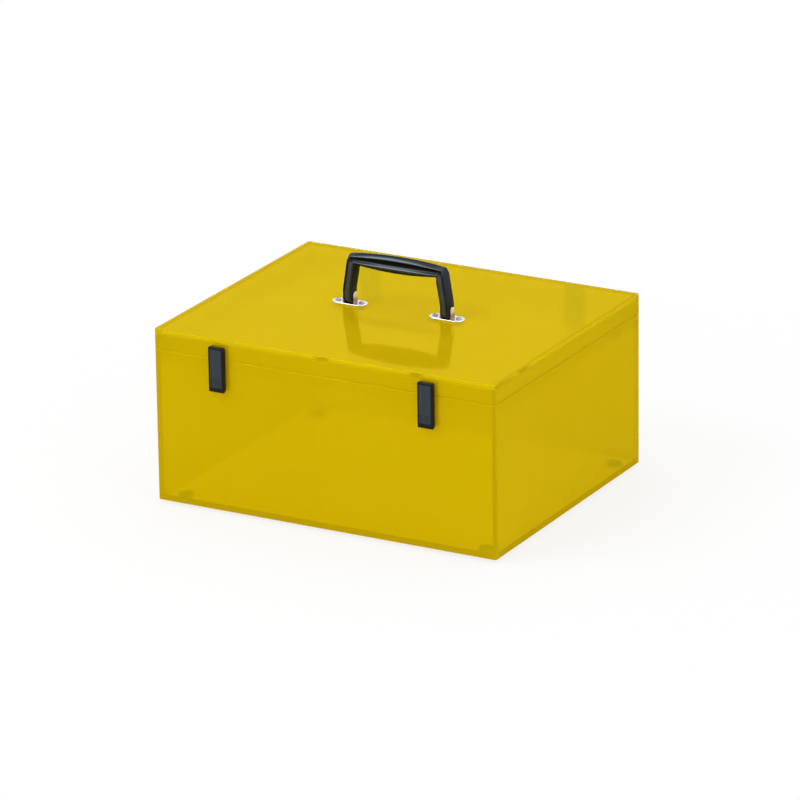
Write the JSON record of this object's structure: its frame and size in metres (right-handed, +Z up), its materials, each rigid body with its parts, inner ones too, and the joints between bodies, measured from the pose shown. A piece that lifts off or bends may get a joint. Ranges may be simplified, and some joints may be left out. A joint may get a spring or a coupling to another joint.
{
  "type": "specimen transport box",
  "caption": "Translucent yellow sheet-plastic box with a hinged lid, snap latches, a folding carrying handle and rubber feet, for carrying specimens.",
  "frame": {"origin": "on the surface that the feet rest on, under the middle of the box", "axes": "+X to the right of someone facing the latches, +Y from the latches towards the hinges, +Z up"},
  "size_m": [0.36, 0.3064, 0.2267],
  "materials": {
    "yellow_sheet": "gloss, translucent yellow sheet",
    "clear_strip": "gloss, clear sheet",
    "fitting_plastic": "semi-gloss black moulding",
    "handle_plastic": "gloss black moulding",
    "chrome": "bright plated steel",
    "zinc_steel": "zinc-plated steel",
    "foot_rubber": "matt black rubber"
  },
  "bodies": {
    "box": {"bottom_panel": "yellow_sheet", "front_panel": "yellow_sheet", "rear_panel": "yellow_sheet", "left_panel": "yellow_sheet", "right_panel": "yellow_sheet", "lip_front": "clear_strip", "lip_rear": "clear_strip", "lip_left": "clear_strip", "lip_right": "clear_strip", "foot_front_left": "foot_rubber", "foot_front_right": "foot_rubber", "foot_rear_left": "foot_rubber", "foot_rear_right": "foot_rubber", "foot_screws": "zinc_steel", "latch_keeper_left": "fitting_plastic", "latch_keeper_right": "fitting_plastic", "keeper_screws": "zinc_steel", "hinge_body_leaf_left": "fitting_plastic", "hinge_body_leaf_right": "fitting_plastic", "hinge_pin_left": "zinc_steel", "hinge_pin_right": "zinc_steel", "hinge_body_screws": "zinc_steel"},
    "lid": {"lid_top_panel": "yellow_sheet", "lid_front_rim": "yellow_sheet", "lid_rear_rim": "yellow_sheet", "lid_left_rim": "yellow_sheet", "lid_right_rim": "yellow_sheet", "hinge_lid_leaf_left": "fitting_plastic", "hinge_lid_leaf_right": "fitting_plastic", "hinge_lid_screws": "zinc_steel", "latch_base_left": "fitting_plastic", "latch_base_right": "fitting_plastic", "latch_base_screws": "zinc_steel", "latch_pin_left": "zinc_steel", "latch_pin_right": "zinc_steel", "handle_seat_left": "chrome", "handle_seat_right": "chrome", "seat_screws": "zinc_steel", "seat_washers": "zinc_steel", "seat_nuts": "zinc_steel", "handle_pin_left": "chrome", "handle_pin_right": "chrome"},
    "latch_lever_left": {"latch_lever_left": "fitting_plastic"},
    "latch_lever_right": {"latch_lever_right": "fitting_plastic"},
    "handle": {"handle_grip": "handle_plastic"}
  },
  "joints": [
    {"name": "lid_hinge", "type": "hinge", "parent": "box", "child": "lid", "pos_m": [0, 0.15025, 0.1535], "axis": [-1, 0, 0], "range_deg": [0, 180]},
    {"name": "latch_left", "type": "hinge", "parent": "lid", "child": "latch_lever_left", "pos_m": [-0.1105, -0.1501, 0.16425], "axis": [-1, 0, 0], "range_deg": [0, 95]},
    {"name": "latch_right", "type": "hinge", "parent": "lid", "child": "latch_lever_right", "pos_m": [0.1105, -0.1501, 0.16425], "axis": [-1, 0, 0], "range_deg": [0, 95]},
    {"name": "handle_fold", "type": "hinge", "parent": "lid", "child": "handle", "pos_m": [0, 0, 0.1821], "axis": [1, 0, 0], "range_deg": [-92, 92]}
  ]
}
